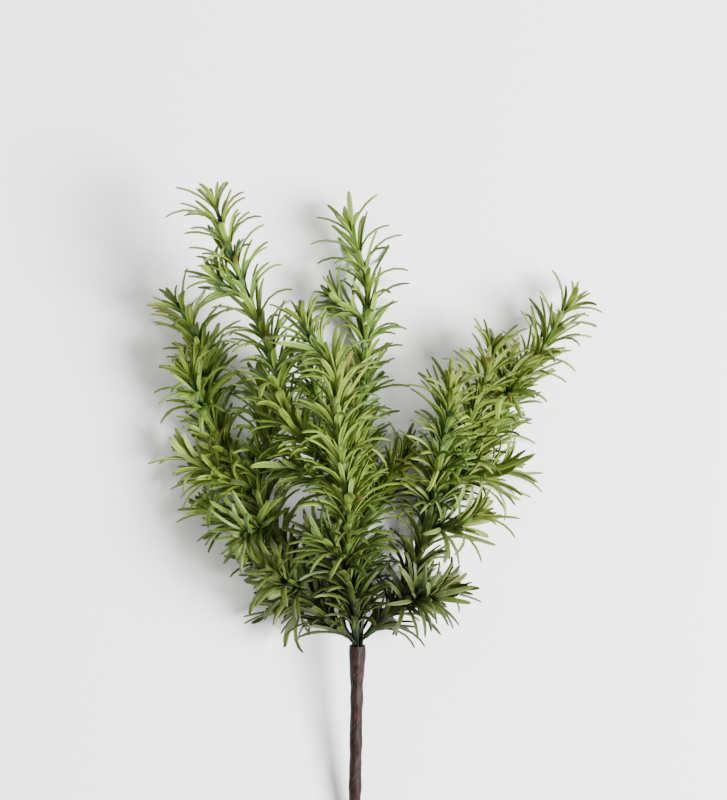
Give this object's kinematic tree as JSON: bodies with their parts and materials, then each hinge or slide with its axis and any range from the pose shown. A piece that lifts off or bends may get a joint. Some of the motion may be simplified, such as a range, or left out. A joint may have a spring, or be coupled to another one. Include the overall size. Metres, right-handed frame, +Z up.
{
  "type": "artificial rosemary spray",
  "caption": "Moulded rosemary branches with whorls of narrow curved needles, fanning out of one straight tape-wrapped stem, lying on its side",
  "frame": {"origin": "middle of the spray's outer box, on the surface it lies on", "axes": "+Z up from the surface, +Y along the spray from the cut end of the stem to the tips of the branches, +X to the right seen from above with the tips away"},
  "size_m": [0.2331, 0.3552, 0.094],
  "materials": {
    "stem_tape": "waxed crepe paper tape, dull with a slight sheen on its ridges",
    "steel_wire": "plain drawn wire, cut square",
    "moulded_green": "soft satin moulded plastic, mid green with olive and yellow-green lights"
  },
  "bodies": {
    "root": {"stem_wrap": "stem_tape", "core_wire": "steel_wire", "branch_left": "moulded_green", "branch_left_tall": "moulded_green", "branch_centre": "moulded_green", "branch_front": "moulded_green", "branch_right": "moulded_green"}
  },
  "joints": []
}
